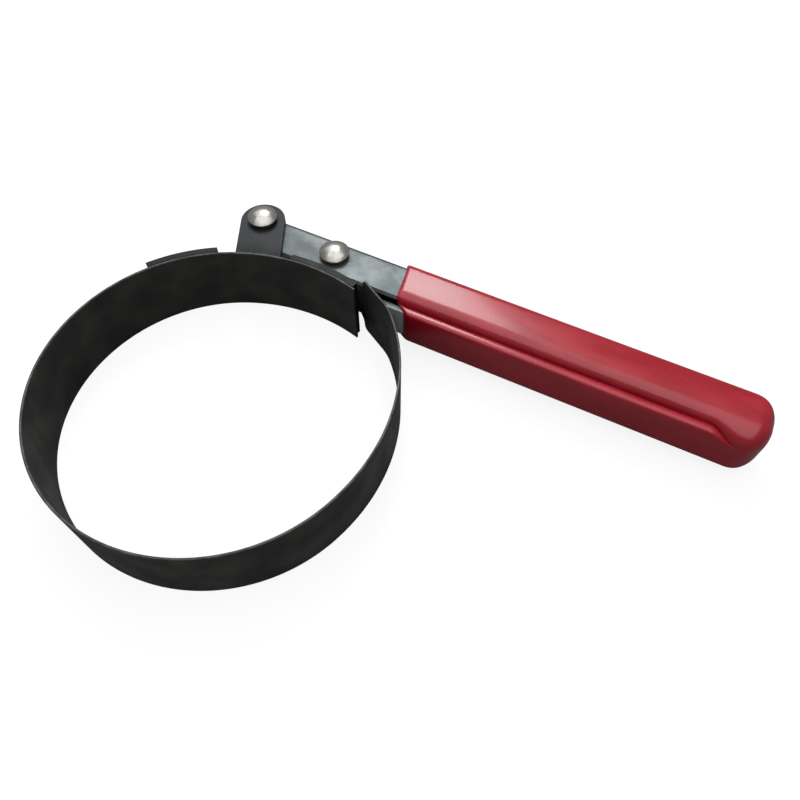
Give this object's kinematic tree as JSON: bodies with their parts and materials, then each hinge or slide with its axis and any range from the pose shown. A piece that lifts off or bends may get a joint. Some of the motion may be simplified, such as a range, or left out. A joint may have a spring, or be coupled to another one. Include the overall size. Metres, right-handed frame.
{
  "type": "oil filter wrench",
  "caption": "Swivel-handle band wrench: a steel band closes round a filter can as the vinyl-dipped lever handle swings out.",
  "frame": {"origin": "on the band's axis, at half the band's width", "axes": "+X along the handle from the band to the grip's end, +Y from the band's axis towards the handle, +Z along the band's axis, out of the filter can's end"},
  "size_m": [0.1931, 0.1194, 0.025],
  "materials": {
    "band_black": "black oxide spring steel, oiled, semi-matt",
    "bracket_slate": "blued pressed steel, satin",
    "rivet_nickel": "nickel-plated formed head",
    "handle_zinc": "zinc-plated sheet with mottled passivation",
    "grip_vinyl": "dipped vinyl, glossy red"
  },
  "bodies": {
    "bracket": {"bracket": "bracket_slate", "band_tongue": "band_black", "pivot_rivet": "rivet_nickel"},
    "handle": {"handle_channel": "handle_zinc", "grip": "grip_vinyl", "strap_rivet": "rivet_nickel"},
    "link_1": {"band_link_1": "band_black"},
    "link_2": {"band_link_2": "band_black"},
    "link_3": {"band_link_3": "band_black"},
    "link_4": {"band_link_4": "band_black"},
    "link_5": {"band_link_5": "band_black"},
    "link_6": {"band_link_6": "band_black"},
    "tail": {"band_tail": "band_black"}
  },
  "joints": [
    {"name": "handle_pivot", "type": "hinge", "parent": "bracket", "child": "handle", "pos_m": [-0.0224, 0.0626, 0], "axis": [0, 0, 1], "range_deg": [0, 40]},
    {"name": "band_flex_1", "type": "hinge", "parent": "bracket", "child": "link_1", "pos_m": [-0.04733, 0.01268, 0], "axis": [0, 0, 1], "range_deg": [0, 2.82]},
    {"name": "band_flex_2", "type": "hinge", "parent": "link_1", "child": "link_2", "pos_m": [-0.04605, -0.01676, 0], "axis": [0, 0, 1], "range_deg": [0, 2.82]},
    {"name": "band_flex_3", "type": "hinge", "parent": "link_2", "child": "link_3", "pos_m": [-0.02811, -0.04014, 0], "axis": [0, 0, 1], "range_deg": [0, 2.82]},
    {"name": "band_flex_4", "type": "hinge", "parent": "link_3", "child": "link_4", "pos_m": [0, -0.049, 0], "axis": [0, 0, 1], "range_deg": [0, 2.82]},
    {"name": "band_flex_5", "type": "hinge", "parent": "link_4", "child": "link_5", "pos_m": [0.02811, -0.04014, 0], "axis": [0, 0, 1], "range_deg": [0, 2.82]},
    {"name": "band_flex_6", "type": "hinge", "parent": "link_5", "child": "link_6", "pos_m": [0.0467, -0.017, 0], "axis": [0, 0, 1], "range_deg": [-9.46, 0]},
    {"name": "band_flex_7", "type": "hinge", "parent": "link_6", "child": "tail", "pos_m": [0.04472, 0.02834, 0], "axis": [0, 0, 1], "range_deg": [-9.46, 0]}
  ],
  "couplings": [
    {"joint": "band_flex_1", "follows": "handle_pivot", "ratio": 0.07},
    {"joint": "band_flex_2", "follows": "handle_pivot", "ratio": 0.07},
    {"joint": "band_flex_3", "follows": "handle_pivot", "ratio": 0.07},
    {"joint": "band_flex_4", "follows": "handle_pivot", "ratio": 0.07},
    {"joint": "band_flex_5", "follows": "handle_pivot", "ratio": 0.07},
    {"joint": "band_flex_6", "follows": "handle_pivot", "ratio": -0.236},
    {"joint": "band_flex_7", "follows": "handle_pivot", "ratio": -0.236}
  ]
}
